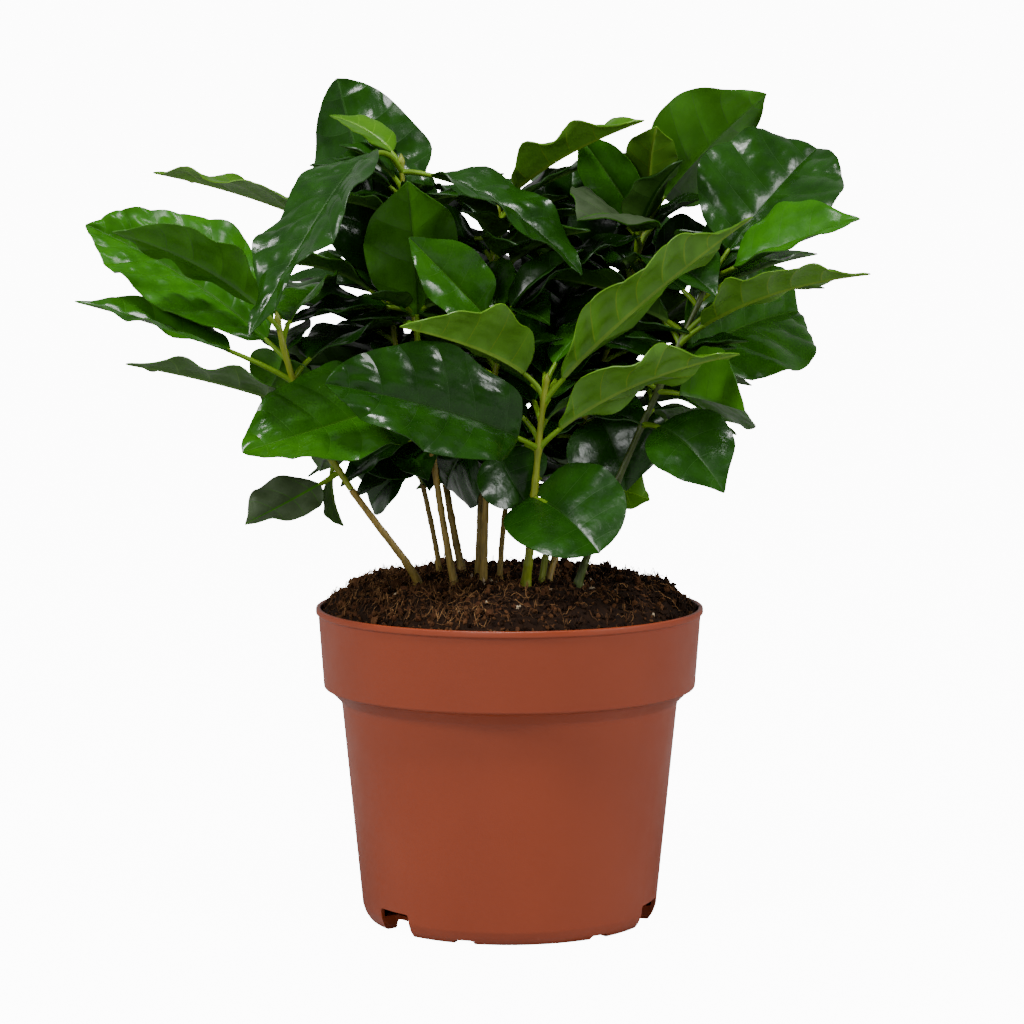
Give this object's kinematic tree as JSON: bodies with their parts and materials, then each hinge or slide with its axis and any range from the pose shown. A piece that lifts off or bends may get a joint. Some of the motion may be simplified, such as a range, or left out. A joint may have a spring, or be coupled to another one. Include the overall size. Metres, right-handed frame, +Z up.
{
  "type": "potted coffee plant",
  "caption": "Bushy clump of young coffee plants with glossy, wavy, pointed leaves on slim stems, growing from dark peat in a round terracotta-coloured nursery pot.",
  "frame": {"origin": "on the pot's axis, at the level of the surface that the pot stands on", "axes": "+Z up, -Y is the front, +X is the right-hand side seen from the front"},
  "size_m": [0.237, 0.1643, 0.2621],
  "materials": {
    "pot": "moulded terracotta-coloured plastic, satin",
    "soil": "moist dark peat with pale fibres and grains of perlite",
    "stem": "young stem with thin grey-brown bark, green higher up",
    "foliage": "glossy dark green leaf, paler and duller underneath"
  },
  "bodies": {
    "root": {"pot": "pot", "soil": "soil", "stem_01": "stem", "stem_02": "stem", "stem_03": "stem", "stem_04": "stem", "stem_05": "stem", "stem_06": "stem", "stem_07": "stem", "stem_08": "stem", "stem_09": "stem", "stem_10": "stem", "stem_11": "stem", "shoot_01": "foliage", "shoot_02": "foliage", "shoot_03": "foliage", "shoot_04": "foliage", "shoot_05": "foliage", "shoot_06": "foliage", "shoot_07": "foliage", "shoot_08": "foliage", "shoot_09": "foliage", "shoot_10": "foliage", "shoot_11": "foliage"}
  },
  "joints": []
}
